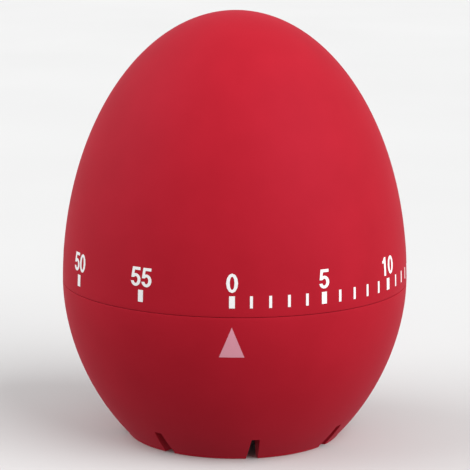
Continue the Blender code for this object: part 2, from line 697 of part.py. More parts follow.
def notch_cutter():
    """All the foot rim's tapered notches as one cutter."""
    reach = EGG_RADIUS
    start = FOOT_RADIUS - WALL - MM
    shape = bmesh.new()
    for n in range(NOTCH_COUNT):
        made = bmesh.ops.create_cube(shape, size=1.0)["verts"]
        for vert in made:
            width = NOTCH_TOP_WIDTH if vert.co.z > 0 else NOTCH_FOOT_WIDTH
            height = NOTCH_HEIGHT if vert.co.z > 0 else -NOTCH_HEIGHT * 0.25
            vert.co = (start if vert.co.x < 0 else reach, math.copysign(width / 2, vert.co.y), height)
        turn = Matrix.Rotation(math.radians(NOTCH_FIRST_ANGLE + 360 * n / NOTCH_COUNT), 3, "Z")
        bmesh.ops.rotate(shape, matrix=turn, verts=made)
    mesh = bpy.data.meshes.new("notches")
    shape.to_mesh(mesh)
    shape.free()
    return add("notches", mesh, None)


def cover_radius():
    return FOOT_RADIUS - WALL - COVER_EDGE_GAP


def cover_screw_places():
    return [polar(cover_radius() - COVER_SCREW_INSET, angle) for angle in COVER_SCREW_ANGLES]


def make_base_cover():
    """The disc under the floor ring, with sound slots and three screws from below."""
    high = FLOOR_HEIGHT - FIT_GAP
    low = high - COVER_THICKNESS
    holes = [
        sector(SOUND_SLOT_INNER, SOUND_SLOT_OUTER, 360 * n / SOUND_SLOT_COUNT, SOUND_SLOT_HALF_ANGLE)
        for n in range(SOUND_SLOT_COUNT)
    ]
    holes += [circle(PILOT_HOLE, 12, centre) for centre in cover_screw_places()]
    flat("base_cover", circle(cover_radius(), SHELL_STEPS), low, high, BLACK, holes=holes)
    bite = COVER_THICKNESS + FLOOR_THICKNESS
    for n, centre in enumerate(cover_screw_places()):
        screw(f"base_screw_{n + 1}", centre, low, 1, bite=bite)


def make_upper_shell(dial):
    """The dial: the upper half of the egg, with three bosses for the drive disc's screws."""
    seam = SEAM_HEIGHT + SEAM_GAP / 2
    rings = 12
    outer = [(0.0, EGG_HEIGHT)] + [upper_point(1 - (i / rings) ** 1.1) for i in range(1, rings)]
    outer += [(upper_radius(seam + EDGE_CHAMFER), seam + EDGE_CHAMFER), (EGG_RADIUS - EDGE_CHAMFER, seam)]
    inner = [(EGG_RADIUS - WALL, seam)]
    inner += [upper_point(i / 9, WALL) for i in range(1, 9)] + [(0.0, EGG_HEIGHT - WALL)]
    shell = turned("upper_shell", outer + inner, RED, dial, steps=SHELL_STEPS)

    middle = WALL / 2
    profile = [(0.0, EGG_HEIGHT - middle)] + [upper_point(1 - i / 12, middle) for i in range(1, 13)]
    core = as_cutter(turned("upper_core", profile + [(0.0, SEAM_HEIGHT)], None, steps=SHELL_STEPS))
    low = DISC_LEVEL + DISC_THICKNESS + FIT_GAP
    for n, angle in enumerate(DISC_SCREW_ANGLES):
        boss = shell_boss(f"boss_{n}", angle, DISC_SCREW_CIRCLE, BOSS_RADIUS, low, EGG_HEIGHT, core)
        centre = polar(DISC_SCREW_CIRCLE, angle)
        boolean(shell, boss, "UNION")
        pilot = rod(f"boss_pilot_{n}", PILOT_HOLE, low - MM, low + SCREW_BITE, None, None, centre)
        boolean(shell, pilot, "DIFFERENCE")
    return shell


def d_section(gap):
    """The main arbor's D, grown by a gap."""
    radius, flat_at = ARBOR_RADIUS + gap, ARBOR_FLAT + gap
    half = math.degrees(math.acos(flat_at / radius))
    return arc(radius, half, 360 - half, 13)


def make_drive_disc(dial):
    """The disc screwed into the dial, with a hub on the arbor's D and the lug that meets the stop pin."""
    high = DISC_LEVEL + DISC_THICKNESS
    hub_top = ARBOR_TOP + HUB_WALL_TOP
    window = (HUB_RADIUS + DISC_HUB_MARGIN, DISC_SCREW_CIRCLE - DISC_RIM_MARGIN)
    rim = upper_radius(high, WALL) - DISC_EDGE_GAP
    holes = [sector(*window, angle + 60, DISC_WINDOW_HALF_ANGLE, 9) for angle in DISC_SCREW_ANGLES]
    holes += [circle(PILOT_HOLE, 12, polar(DISC_SCREW_CIRCLE, angle)) for angle in DISC_SCREW_ANGLES]
    disc = flat("drive_disc", circle(rim, SHELL_STEPS), DISC_LEVEL, high, NYLON, dial, holes)
    boolean(disc, rod("hub", HUB_RADIUS, HUB_LOW, hub_top, None, None, steps=24), "UNION")
    lug_high = DISC_LEVEL + DISC_THICKNESS / 2
    lug_size = (STOP_LUG_LENGTH, STOP_LUG_WIDTH, lug_high - HUB_LOW)
    lug_middle = (*polar(STOP_CIRCLE, LUG_ANGLE), (lug_high + HUB_LOW) / 2)
    boolean(disc, box("lug", lug_size, lug_middle, LUG_ANGLE, None), "UNION")
    boolean(disc, flat("disc_bore", d_section(FIT_GAP), HUB_LOW - MM, hub_top + MM, None), "DIFFERENCE")
    for n, angle in enumerate(DISC_SCREW_ANGLES):
        screw(f"disc_screw_{n + 1}", polar(DISC_SCREW_CIRCLE, angle), DISC_LEVEL, 1, dial)


# ================================================================ movement frame
def train_places():
    return [SECOND_PLACE, THIRD_PLACE, ESCAPE_PLACE, PALLET_PLACE, BALANCE_PLACE]


def plate_holes(centre_hole):
    """Holes that both plates have: the centre, the pivots, the hammer arbor and the pillars."""
    holes = [circle(centre_hole, 20)]
    holes += [circle(PIVOT_HOLE, 10, place) for place in train_places()]
    holes.append(circle(HAMMER_PIVOT + RUN_GAP, 10, HAMMER_PLACE))
    holes += [circle(PILLAR_SPIGOT + FIT_GAP, 10, polar(PILLAR_CIRCLE, angle)) for angle in PILLAR_ANGLES]
    return holes


def make_plates():
    """The lower plate makes way for the shell's posts; the upper plate's ears are screwed down on them."""
    edge = scalloped_outline(PLATE_RADIUS, POST_CIRCLE, POST_RADIUS + SAFE_GAP, POST_ANGLES, False)
    holes = plate_holes(BELL_POST_SPIGOT + FIT_GAP)
    flat("lower_plate", edge, LOWER_PLATE_LEVEL, LOWER_PLATE_TOP, BRASS, holes=holes)

    posts = [polar(POST_CIRCLE, angle) for angle in POST_ANGLES]
    edge = scalloped_outline(PLATE_RADIUS, POST_CIRCLE, POST_RADIUS, POST_ANGLES, True)
    holes = plate_holes(ARBOR_RADIUS + RUN_GAP)
    holes.append(circle(STOP_PIN_RADIUS + FIT_GAP, 10, polar(STOP_CIRCLE, STOP_ANGLE)))
    holes.append(circle(STUD_RADIUS + FIT_GAP, 10, STUD_PLACE))
    holes += [circle(PILOT_HOLE, 12, centre) for centre in posts]
    flat("upper_plate", edge, UPPER_PLATE_LEVEL, UPPER_PLATE_TOP, BRASS, holes=holes)
    for n, centre in enumerate(posts):
        screw(f"plate_screw_{n + 1}", centre, UPPER_PLATE_TOP, -1)
    pin_top = DISC_LEVEL - SAFE_GAP
    rod("stop_pin", STOP_PIN_RADIUS, UPPER_PLATE_LEVEL, pin_top, STEEL, None, polar(STOP_CIRCLE, STOP_ANGLE))


def make_pillars():
    top = UPPER_PLATE_TOP + FIT_GAP + NUT_HEIGHT
    profile = [
        (0.0, top),
        (PILLAR_SPIGOT, top),
        (PILLAR_SPIGOT, UPPER_PLATE_LEVEL - FIT_GAP),
        (PILLAR_RADIUS, UPPER_PLATE_LEVEL - FIT_GAP),
        (PILLAR_RADIUS, LOWER_PLATE_TOP + FIT_GAP),
        (PILLAR_SPIGOT, LOWER_PLATE_TOP + FIT_GAP),
        (PILLAR_SPIGOT, LOWER_PLATE_LEVEL),
        (0.0, LOWER_PLATE_LEVEL),
    ]
    low = UPPER_PLATE_TOP + FIT_GAP
    for n, angle in enumerate(PILLAR_ANGLES):
        centre = polar(PILLAR_CIRCLE, angle)
        turned(f"pillar_{n + 1}", profile, BRASS, None, centre, 10)
        hole = [circle(PILLAR_SPIGOT + FIT_GAP, 12)]
        flat(f"pillar_nut_{n + 1}", circle(NUT_RADIUS, 6), low, low + NUT_HEIGHT, STEEL, None, hole, centre)


def bell_profile(inset):
    """Half a section of the bell's outer face moved in by inset, from its rim down to its crown."""
    low = BELL_BOTTOM + inset
    centre = (BELL_RADIUS - BELL_CORNER, BELL_BOTTOM + BELL_CORNER)
    points = [(BELL_RADIUS - inset, BELL_TOP)]
    for i in range(6):
        angle = -math.pi / 2 * i / 5
        radius = BELL_CORNER - inset
        points.append((centre[0] + radius * math.cos(angle), centre[1] + radius * math.sin(angle)))
    points.append((PILOT_HOLE, low))
    return points


def make_bell():
    """The bell hangs from the lower plate on a post, crown down, with a screw from below."""
    outer, inner = bell_profile(0.0), bell_profile(BELL_WALL)
    turned("bell", outer + inner[::-1], BELL_METAL, steps=BELL_STEPS, closed=True)
    seat = LOWER_PLATE_LEVEL - FIT_GAP
    low = BELL_BOTTOM + BELL_WALL + FIT_GAP
    bearing_floor = ARBOR_FOOT - FIT_GAP
    profile = [
        (0.0, bearing_floor),
        (ARBOR_PIVOT + RUN_GAP, bearing_floor),
        (ARBOR_PIVOT + RUN_GAP, LOWER_PLATE_TOP),
        (BELL_POST_SPIGOT, LOWER_PLATE_TOP),
        (BELL_POST_SPIGOT, seat),
        (BELL_POST_FLANGE, seat),
        (BELL_POST_FLANGE, seat - BELL_POST_SEAT),
        (BELL_POST_RADIUS, seat - BELL_POST_SEAT),
        (BELL_POST_RADIUS, low),
        (PILOT_HOLE, low),
        (PILOT_HOLE, low + SCREW_BITE),
        (0.0, low + SCREW_BITE),
    ]
    turned("bell_post", profile, BRASS)
    screw("bell_screw", (0.0, 0.0), BELL_BOTTOM, 1)


# ================================================================ dial drive, mainspring and clutch
def make_main_arbor(dial):
    """Steel, with a pivot, a collar under the upper plate and a D section for the cam and the hub."""
    collar_high = UPPER_PLATE_LEVEL - FIT_GAP
    shoulder = LOWER_PLATE_TOP + FIT_GAP
    profile = [
        (0.0, ARBOR_TOP),
        (ARBOR_RADIUS, ARBOR_TOP),
        (ARBOR_RADIUS, collar_high),
        (ARBOR_COLLAR, collar_high),
        (ARBOR_COLLAR, collar_high - ARBOR_COLLAR_HEIGHT),
        (ARBOR_RADIUS, collar_high - ARBOR_COLLAR_HEIGHT),
        (ARBOR_RADIUS, shoulder),
        (ARBOR_PIVOT, shoulder),
        (ARBOR_PIVOT, ARBOR_FOOT),
        (0.0, ARBOR_FOOT),
    ]
    arbor = turned("main_arbor", profile, STEEL, dial)
    low = CAM_LEVEL - FIT_GAP
    depth = 2 * ARBOR_RADIUS
    size = (depth, depth * 2, ARBOR_TOP - low + MM)
    middle = (ARBOR_FLAT + depth / 2, 0.0, low + size[2] / 2)
    boolean(arbor, box("arbor_flat", size, middle, 0.0, None), "DIFFERENCE")


def make_clutch(dial):
    """Ratchet wheel on the arbor, main wheel free on it, and the click that joins the two."""
    high = MAIN_LEVEL + WHEEL_THICKNESS
    click_place, spring_place = polar(CLICK_CIRCLE, CLICK_ANGLE), polar(CLICK_CIRCLE, CLICK_SPRING_ANGLE)
    teeth = gear_outline(MAIN_TEETH, MAIN_MODULE, WHEEL_ADDENDUM, 0.0, 2)
    holes = [circle(ARBOR_RADIUS + RUN_GAP, 20)]
    holes += [circle(RIVET_HOLE, 10, place) for place in (click_place, spring_place)]
    flat("main_wheel", teeth, MAIN_LEVEL, high, BRASS, dial, holes)

    low, top = RATCHET_LEVEL, RATCHET_LEVEL + WHEEL_THICKNESS
    saw = saw_outline(RATCHET_TEETH, RATCHET_RADIUS, RATCHET_RADIUS - RATCHET_DEPTH, CLICK_ANGLE, 2.0)
    flat("ratchet_wheel", saw, low, top, STEEL, dial, [circle(ARBOR_RADIUS + FIT_GAP, 20)])

    nose = polar(RATCHET_RADIUS + FIT_GAP + CLICK_HALF_WIDTH, CLICK_ANGLE - 30)
    reach = math.dist(click_place, nose)
    click = lever_outline(CLICK_HUB, [(bearing(click_place, nose), reach, CLICK_HALF_WIDTH, "round")])
    flat("click", click, low, top, STEEL, dial, [circle(RIVET_HOLE, 10)], click_place)
    arm = (bearing(spring_place, click_place), math.dist(spring_place, click_place) - CLICK_HUB - SAFE_GAP)
    strip = lever_outline(CLICK_HUB, [(*arm, CLICK_SPRING_HALF_WIDTH, "square")])
    flat("click_spring", strip, low, top, SPRING_STEEL, dial, [circle(RIVET_HOLE, 10)], spring_place)
    head_top = low - FIT_GAP
    profile = [(0.0, high), (RIVET_RADIUS, high), (RIVET_RADIUS, head_top), (RIVET_HEAD, head_top)]
    profile += [(RIVET_HEAD, head_top - RIVET_HEAD_HEIGHT), (0.0, head_top - RIVET_HEAD_HEIGHT)]
    turned("click_rivet", profile, STEEL, dial, click_place, 10)
    turned("click_spring_rivet", profile, STEEL, dial, spring_place, 10)


def make_mainspring():
    """The coiled strip round the arbor. Its outer end is bent round a pillar."""
    anchor = polar(PILLAR_CIRCLE, SPRING_PILLAR_ANGLE)
    hook = PILLAR_RADIUS + FIT_GAP + SPRING_THICKNESS
    end = SPRING_PILLAR_ANGLE - 60
    tail = arc(hook, SPRING_PILLAR_ANGLE - 150, SPRING_PILLAR_ANGLE + 60, 9, anchor)
    strip = spiral_outline(SPRING_INNER, SPRING_OUTER, SPRING_TURNS, SPRING_THICKNESS, end, 18, tail)
    flat("mainspring", strip, SPRING_LEVEL, SPRING_LEVEL + SPRING_HEIGHT, SPRING_STEEL)


def make_trip_cam(dial):
    """The disc whose notch lets the hammer go as the dial reaches zero. Seen in the dial's rest position."""
    middle = TRIP_ANGLE
    floor = CAM_RADIUS - CAM_NOTCH_DEPTH
    notch_first, notch_last = middle - CAM_NOTCH_LAG, middle + CAM_NOTCH_LEAD
    outline = arc(CAM_RADIUS, notch_last + CAM_RAMP, notch_first + 360, 36)
    outline += arc(floor, notch_first, notch_last, 5)
    bore = [d_section(FIT_GAP)]
    flat("trip_cam", outline, CAM_LEVEL, CAM_LEVEL + CAM_THICKNESS, STEEL, dial, bore)


# ================================================================ gear train
def small_arbor_profile(pivot=SMALL_PIVOT, low=None, high=None):
    """An arbor between the plates. Its pivots end flush with the plates unless low and high say where."""
    low = LOWER_PLATE_LEVEL if low is None else low
    high = UPPER_PLATE_TOP if high is None else high
    return [
        (0.0, high),
        (pivot, high),
        (pivot, UPPER_PLATE_LEVEL - FIT_GAP),
        (SMALL_ARBOR, UPPER_PLATE_LEVEL - FIT_GAP),
        (SMALL_ARBOR, LOWER_PLATE_TOP + FIT_GAP),
        (pivot, LOWER_PLATE_TOP + FIT_GAP),
        (pivot, low),
        (0.0, low),
    ]


def make_pinion(name, parent, module, phase, driver_level):
    """An arbor with pinion leaves cut in it, level with the wheel that drives it."""
    arbor = turned(name, small_arbor_profile(), STEEL, parent, steps=12)
    leaves = gear_outline(PINION_LEAVES, module, PINION_ADDENDUM, phase, 3)
    low, high = driver_level - PINION_OVERLAP, driver_level + WHEEL_THICKNESS + PINION_OVERLAP
    return boolean(arbor, flat(name + "_leaves", leaves, low, high, None, parent), "UNION")


def make_train():
    """Second wheel, third wheel and escape wheel, each pressed on the arbor of its pinion."""
    bore = [circle(STEEL_BORE, 12)]
    second = group("second_group", SECOND_PLACE)
    direction = bearing((0.0, 0.0), SECOND_PLACE)
    phase = meshing_phase(direction, MAIN_TEETH, 0.0, PINION_LEAVES)
    make_pinion("second_pinion", second, MAIN_MODULE, phase, MAIN_LEVEL)
    teeth = gear_outline(SECOND_TEETH, SECOND_MODULE, WHEEL_ADDENDUM, phase, 2)
    flat("second_wheel", teeth, SECOND_LEVEL, SECOND_LEVEL + WHEEL_THICKNESS, BRASS, second, bore)

    third = group("third_group", THIRD_PLACE)
    phase = meshing_phase(bearing(SECOND_PLACE, THIRD_PLACE), SECOND_TEETH, phase, PINION_LEAVES)
    make_pinion("third_pinion", third, SECOND_MODULE, phase, SECOND_LEVEL)
    teeth = gear_outline(THIRD_TEETH, THIRD_MODULE, WHEEL_ADDENDUM, phase, 2)
    flat("third_wheel", teeth, THIRD_LEVEL, THIRD_LEVEL + WHEEL_THICKNESS, BRASS, third, bore)

    escape = group("escape_group", ESCAPE_PLACE)
    phase = meshing_phase(bearing(THIRD_PLACE, ESCAPE_PLACE), THIRD_TEETH, phase, PINION_LEAVES)
    make_pinion("escape_pinion", escape, THIRD_MODULE, phase, THIRD_LEVEL)
    saw = saw_outline(ESCAPE_TEETH, ESCAPE_RADIUS, ESCAPE_ROOT, ESCAPE_PHASE, ESCAPE_LEAN)
    flat("escape_wheel", saw, ESCAPE_LEVEL, ESCAPE_LEVEL + WHEEL_THICKNESS, BRASS, escape, bore)


# ================================================================ escapement
def make_pallet():
    """The lever with two pins over the escape wheel and a fork for the balance's impulse pin."""
    pallet = group("pallet_group", PALLET_PLACE)
    turned("pallet_arbor", small_arbor_profile(), STEEL, pallet, steps=10)
    half = math.radians(PALLET_PITCHES * 180 / ESCAPE_TEETH)
    radius = ESCAPE_RADIUS + PALLET_PIN + RUN_GAP
    along, across = ESCAPE_TO_PALLET - radius * math.cos(half), radius * math.sin(half)
    reach, spread = math.hypot(along, across), math.degrees(math.atan2(across, along))
    to_wheel = bearing(PALLET_PLACE, ESCAPE_PLACE)
    slot = IMPULSE_PIN + FIT_GAP
    fork = (slot, FORK_OVERRUN + 2 * slot)
    arms = [
        (to_wheel - spread, reach, PALLET_ARM, "round"),
        (to_wheel + spread, reach, PALLET_ARM, "round"),
        (bearing(PALLET_PLACE, BALANCE_PLACE) % 360, FORK_LENGTH + FORK_OVERRUN, slot + PRONG_WIDTH, fork),
    ]
    pins = [polar(reach, to_wheel - spread), polar(reach, to_wheel + spread)]
    holes = [circle(STEEL_BORE, 10)] + [circle(PALLET_PIN + FIT_GAP, 8, pin) for pin in pins]
    high = PALLET_LEVEL + PALLET_THICKNESS
    flat("pallet_lever", lever_outline(PALLET_HUB, arms), PALLET_LEVEL, high, BRASS, pallet, holes)
    for n, pin in enumerate(pins):
        rod(f"pallet_pin_{n + 1}", PALLET_PIN, ESCAPE_LEVEL - FIT_GAP, high, STEEL, pallet, pin, 8)


def make_balance():
    """Balance wheel, its staff with the hairspring's collet, and the roller with the impulse pin."""
    balance = group("balance_group", BALANCE_PLACE)
    profile = small_arbor_profile()
    collet_low, collet_high = HAIRSPRING_LEVEL - FIT_GAP, HAIRSPRING_LEVEL + HAIRSPRING_WIDTH + FIT_GAP
    profile[4:4] = [
        (SMALL_ARBOR, collet_high),
        (COLLET_RADIUS, collet_high),
        (COLLET_RADIUS, collet_low),
        (SMALL_ARBOR, collet_low),
    ]
    turned("balance_staff", profile, STEEL, balance, steps=12)
    bore = circle(STEEL_BORE, 12)
    arms = [sector(BALANCE_HUB, BALANCE_RADIUS - BALANCE_RIM, 60 + 120 * n, 50, 7) for n in range(3)]
    high = BALANCE_LEVEL + BALANCE_THICKNESS
    flat("balance_wheel", circle(BALANCE_RADIUS, 32), BALANCE_LEVEL, high, BRASS, balance, [bore] + arms)
    impulse = polar(IMPULSE_CIRCLE, bearing(BALANCE_PLACE, PALLET_PLACE))
    holes = [bore, circle(IMPULSE_PIN + FIT_GAP, 10, impulse)]
    high = ROLLER_LEVEL + WHEEL_THICKNESS
    flat("impulse_roller", circle(IMPULSE_ROLLER, 20), ROLLER_LEVEL, high, BRASS, balance, holes)
    rod("impulse_pin", IMPULSE_PIN, PALLET_LEVEL - FIT_GAP, high, STEEL, balance, impulse, 10)


def make_hairspring():
    """The flat spiral from the collet to the stud, which hangs from the upper plate."""
    start = STUD_BEARING - 360 * HAIRSPRING_TURNS
    strip = spiral_outline(
        HAIRSPRING_INNER, HAIRSPRING_OUTER, HAIRSPRING_TURNS, HAIRSPRING_THICKNESS, start, 16
    )
    high = HAIRSPRING_LEVEL + HAIRSPRING_WIDTH
    flat("hairspring", strip, HAIRSPRING_LEVEL, high, SPRING_STEEL, None, (), BALANCE_PLACE)
    rod("hairspring_stud", STUD_RADIUS, HAIRSPRING_LEVEL, UPPER_PLATE_TOP, STEEL, None, STUD_PLACE, 10)


# ================================================================ hammer
def make_hammer():
    """The arbor through both plates, the hammer under them and the trip lever over them."""
    hammer = group("hammer_group", HAMMER_PLACE)
    lever_top = CAM_LEVEL + CAM_THICKNESS
    profile = small_arbor_profile(HAMMER_PIVOT, HAMMER_ARM_LEVEL, lever_top)
    turned("hammer_arbor", profile, STEEL, hammer, steps=12)
    bore = circle(HAMMER_PIVOT + FIT_GAP, 12)

    head = (HEAD_PLACE[0] - HAMMER_PLACE[0], HEAD_PLACE[1] - HAMMER_PLACE[1])
    peg = SMALL_ARBOR
    reach = (bearing((0, 0), head), math.hypot(*head), HAMMER_ARM_HALF_WIDTH, "round")
    arm = lever_outline(HAMMER_HUB, [reach])
    arm_top = HAMMER_ARM_LEVEL + HAMMER_ARM_THICKNESS
    holes = [bore, circle(peg + FIT_GAP, 12, head)]
    flat("hammer_arm", arm, HAMMER_ARM_LEVEL, arm_top, STEEL, hammer, holes)
    under = HAMMER_ARM_LEVEL - FIT_GAP
    profile = [(0.0, arm_top), (peg, arm_top), (peg, under), (HAMMER_HEAD_RADIUS, under)]
    profile += [(HAMMER_HEAD_RADIUS, under - HAMMER_HEAD_LENGTH), (0.0, under - HAMMER_HEAD_LENGTH)]
    turned("hammer_head", profile, BRASS, hammer, head, 16)

    tip = polar(CAM_RADIUS + TRIP_HALF_WIDTH + RUN_GAP, TRIP_ANGLE)
    tip = (tip[0] - HAMMER_PLACE[0], tip[1] - HAMMER_PLACE[1])
    reach = (bearing((0, 0), tip), math.hypot(*tip), TRIP_HALF_WIDTH, "round")
    lever = lever_outline(HAMMER_HUB, [reach])
    flat("trip_lever", lever, CAM_LEVEL, lever_top, STEEL, hammer, [bore])


def make_hammer_spring():
    """A coil round the hammer arbor between the plates, with one leg bent up against the lower plate."""
    low = LOWER_PLATE_TOP + 2 * HAMMER_SPRING_WIRE + SAFE_GAP
    pitch = 3 * HAMMER_SPRING_WIRE
    points_per_turn = 10
    x, y = HAMMER_PLACE
    points = [(x + HAMMER_SPRING_LEG, y - HAMMER_SPRING_RADIUS, low)]
    for i in range(HAMMER_SPRING_TURNS * points_per_turn + 1):
        turn = i / points_per_turn
        dx, dy = polar(HAMMER_SPRING_RADIUS, -90 - 360 * turn)
        points.append((x + dx, y + dy, low + pitch * turn))
    end = low + pitch * HAMMER_SPRING_TURNS
    points.append((x - HAMMER_SPRING_LEG, y - HAMMER_SPRING_RADIUS, end))
    wire("hammer_spring", points, HAMMER_SPRING_WIRE, SPRING_STEEL)


def make_dial_body():
    dial = group("dial_group", (0.0, 0.0))
    make_upper_shell(dial)
    make_drive_disc(dial)
    make_main_arbor(dial)
    make_clutch(dial)
    make_trip_cam(dial)


def main():
    make_lower_shell()
    make_base_cover()
    make_plates()
    make_pillars()
    make_bell()
    make_mainspring()
    make_dial_body()
    make_train()
    make_pallet()
    make_balance()
    make_hairspring()
    make_hammer()
    make_hammer_spring()


main()
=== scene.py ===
"""The looks of the egg-shaped kitchen timer: smooth shells, printed dial, materials, studio and camera.

Everything is in metres, in the frame of the CAD model: +Z up, the pointer at the front towards -Y.
"""

import json
import math

import bmesh
import bpy
from mathutils import Matrix, Vector


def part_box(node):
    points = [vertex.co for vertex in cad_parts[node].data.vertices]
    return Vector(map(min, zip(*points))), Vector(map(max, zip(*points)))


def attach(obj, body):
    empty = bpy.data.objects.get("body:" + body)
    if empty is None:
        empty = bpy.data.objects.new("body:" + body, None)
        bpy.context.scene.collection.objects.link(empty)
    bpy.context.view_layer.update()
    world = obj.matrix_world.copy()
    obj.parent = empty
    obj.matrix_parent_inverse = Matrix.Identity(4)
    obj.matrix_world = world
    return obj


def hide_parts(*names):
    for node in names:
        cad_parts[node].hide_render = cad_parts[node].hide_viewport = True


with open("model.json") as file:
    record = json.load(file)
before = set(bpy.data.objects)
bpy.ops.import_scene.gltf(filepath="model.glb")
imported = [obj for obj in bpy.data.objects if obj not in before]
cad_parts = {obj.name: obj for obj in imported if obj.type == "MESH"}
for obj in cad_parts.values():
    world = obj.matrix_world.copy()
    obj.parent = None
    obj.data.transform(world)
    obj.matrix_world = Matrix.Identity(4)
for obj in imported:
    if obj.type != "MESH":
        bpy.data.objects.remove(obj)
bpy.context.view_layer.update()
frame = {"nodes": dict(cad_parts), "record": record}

MM = 0.001
DIAL_LOW, DIAL_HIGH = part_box("upper_shell")
BASE_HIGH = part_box("lower_shell")[1]

# ---------------------------------------------------------------- sizes of the shells
EGG_RADIUS = DIAL_HIGH.x
EGG_HEIGHT = DIAL_HIGH.z
WALL = 2.0 * MM
CAD_SEAM_GAP = 0.36 * MM
SEAM_HEIGHT = DIAL_LOW.z - CAD_SEAM_GAP / 2
SEAM_GAP = 0.04 * MM
DIAL_EDGE = 0.16 * MM  # rounding of the dial's lower edge
BASE_EDGE = 0.06 * MM  # rounding of the base's upper edge
FOOT_EDGE = 0.35 * MM  # rounding of the foot rim's outer edge
FOOT_RADIUS = 18.53 * MM
LOWER_POWER = 1.84  # how full the lower half's curve is: 2 is an ellipse
LOWER_DEPTH = SEAM_HEIGHT / (1 - (FOOT_RADIUS / EGG_RADIUS) ** LOWER_POWER) ** (1 / LOWER_POWER)
AROUND = 192  # steps round the axis
DIAL_STEPS = 72  # steps down the dial's outer curve
DIAL_INNER_STEPS = 32
BASE_STEPS = 60  # steps down the base's outer curve
BASE_INNER_STEPS = 16
STEP_SPREAD = 1.2  # above 1, the base's steps are closer together towards the foot
ROD_TURN = 4.0  # degrees, which keep a rod's edges out of the planes of the shells' own edges

COLLAR_OUTER = EGG_RADIUS - WALL - 0.5 * MM
COLLAR_INNER = COLLAR_OUTER - 0.8 * MM
COLLAR_TOP = BASE_HIGH.z
COLLAR_FOOT = SEAM_HEIGHT - MM
INNER_WALL_TOP = SEAM_HEIGHT - 3.2 * MM
COVER_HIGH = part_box("base_cover")[1]
FLOOR_HEIGHT = COVER_HIGH.z + 0.1 * MM
FLOOR_TOP = FLOOR_HEIGHT + 1.6 * MM
FLOOR_OPENING = 12.5 * MM
SCREW_HOLE = 0.85 * MM
COVER_SCREWS = ("base_screw_1", "base_screw_2", "base_screw_3")
PLATE_SCREWS = ("plate_screw_1", "plate_screw_2", "plate_screw_3")
DISC_SCREWS = ("disc_screw_1", "disc_screw_2", "disc_screw_3")
POST_RADIUS = 2.2 * MM
SEAT_GAP = 0.1 * MM
SCREW_HEAD_HEIGHT = 1.0 * MM
DISC_THICKNESS = 1.6 * MM

NOTCH_COUNT = 8
NOTCH_FIRST_ANGLE = -79.5  # degrees round from the right-hand side
NOTCH_HEIGHT = 4.3 * MM
NOTCH_FOOT_WIDTH = 2.2 * MM
NOTCH_TOP_WIDTH = 1.4 * MM

# ---------------------------------------------------------------- printed dial
MINUTE = 6.0  # degrees of dial to a minute
INK_LIFT = 0.006 * MM  # the ink's underside, above the paint
INK_THICKNESS = 0.022 * MM
INK_MESH = 0.35 * MM  # longest edge of the ink's faces, so that they follow the curve
TICK_LOW = SEAM_HEIGHT + 1.6 * MM
TICK_HEIGHT = 1.98 * MM
MAJOR_WIDTH = 0.94 * MM
MINOR_WIDTH = 0.47 * MM
INK_SPLITS = 4  # most times the ink's long edges are halved
DIAL_MINUTES = 60
NUMBER_EVERY = 5  # minutes from one number to the next
FINE_MINUTES = 15  # single minutes are marked from 0 to here
DIGIT_LOW = TICK_LOW + TICK_HEIGHT + 0.54 * MM
DIGIT_HEIGHT = 3.15 * MM
DIGIT_WIDTH = 1.93 * MM
DIGIT_PITCH = 2.08 * MM
STEM = 0.58 * MM  # thickness of a digit's upright strokes
BAR = 0.48 * MM  # thickness of its level strokes
POINTER_TOP = SEAM_HEIGHT - 1.6 * MM
POINTER_HEIGHT = 5.15 * MM
POINTER_WIDTH = 4.15 * MM
POINTER_TIP = 0.02 * MM  # half the width that is left at the tip
POINTER_ROWS = 14

# ---------------------------------------------------------------- camera and studio
CAMERA_DISTANCE = 0.368
CAMERA_AZIMUTH = 0.78
CAMERA_ELEVATION = 11.32
CAMERA_ROLL = 0.43
CAMERA_LENS = 161.6
SENSOR_WIDTH = 36.0
CAMERA_RANGE = (0.01, 20.0)
FLOOR_SIZE = 6.0
CAMERA_TARGET = Vector((0.0, 0.0, 34.86 * MM))
SKY_LIGHT = 0.62
UNDER_LIGHT = 0.33  # what the egg's underside is lit with, in place of the floor
HORIZON = 0.1  # half the height of the blend between the two
KEY_LIGHT = (60.0, 35.0, 3.1, 60.0)  # azimuth and elevation, strength, width in degrees
SIDE_LIGHT = (-90.0, 35.0, 1.7, 60.0)
FLOOR_TONES = ((0.60, 0.60, 0.60), (0.62, 0.62, 0.62))

# ---------------------------------------------------------------- materials
# Each row: the name, the two colours it drifts between, and its range of roughness. Then come a metal's
# stretch along the axes, and for plastics and metals the grain's features to the metre and its depth.
PLASTICS = (
    ("black_abs", (0.016, 0.016, 0.017), (0.024, 0.024, 0.025), (0.42, 0.62), 2600.0, 0.03 * MM),
    ("white_nylon", (0.74, 0.73, 0.67), (0.82, 0.81, 0.76), (0.35, 0.5), 1500.0, 0.01 * MM),
)
METALS = (
    ("brass", (0.74, 0.53, 0.22), (0.62, 0.41, 0.15), (0.22, 0.42), (1, 30, 30), 300.0, 0.004 * MM),
    ("steel", (0.58, 0.58, 0.59), (0.47, 0.47, 0.49), (0.2, 0.38), (1, 1, 25), 500.0, 0.004 * MM),
    ("spring_steel", (0.10, 0.13, 0.24), (0.17, 0.16, 0.22), (0.18, 0.34), (1, 1, 8), 600.0, 0.003 * MM),
    ("bell_plate", (0.74, 0.73, 0.70), (0.66, 0.65, 0.61), (0.08, 0.2), (1, 1, 20), 240.0, 0.002 * MM),
)
INKS = (
    ("white_ink", (0.87, 0.87, 0.87), (0.92, 0.92, 0.92), (0.45, 0.6)),
    ("pointer_ink", (0.67, 0.265, 0.335), (0.73, 0.32, 0.395), (0.45, 0.6)),
)


def polar(radius, degrees):
    """A point at this radius, turned from the X axis."""
    angle = math.radians(degrees)
    return (radius * math.cos(angle), radius * math.sin(angle))


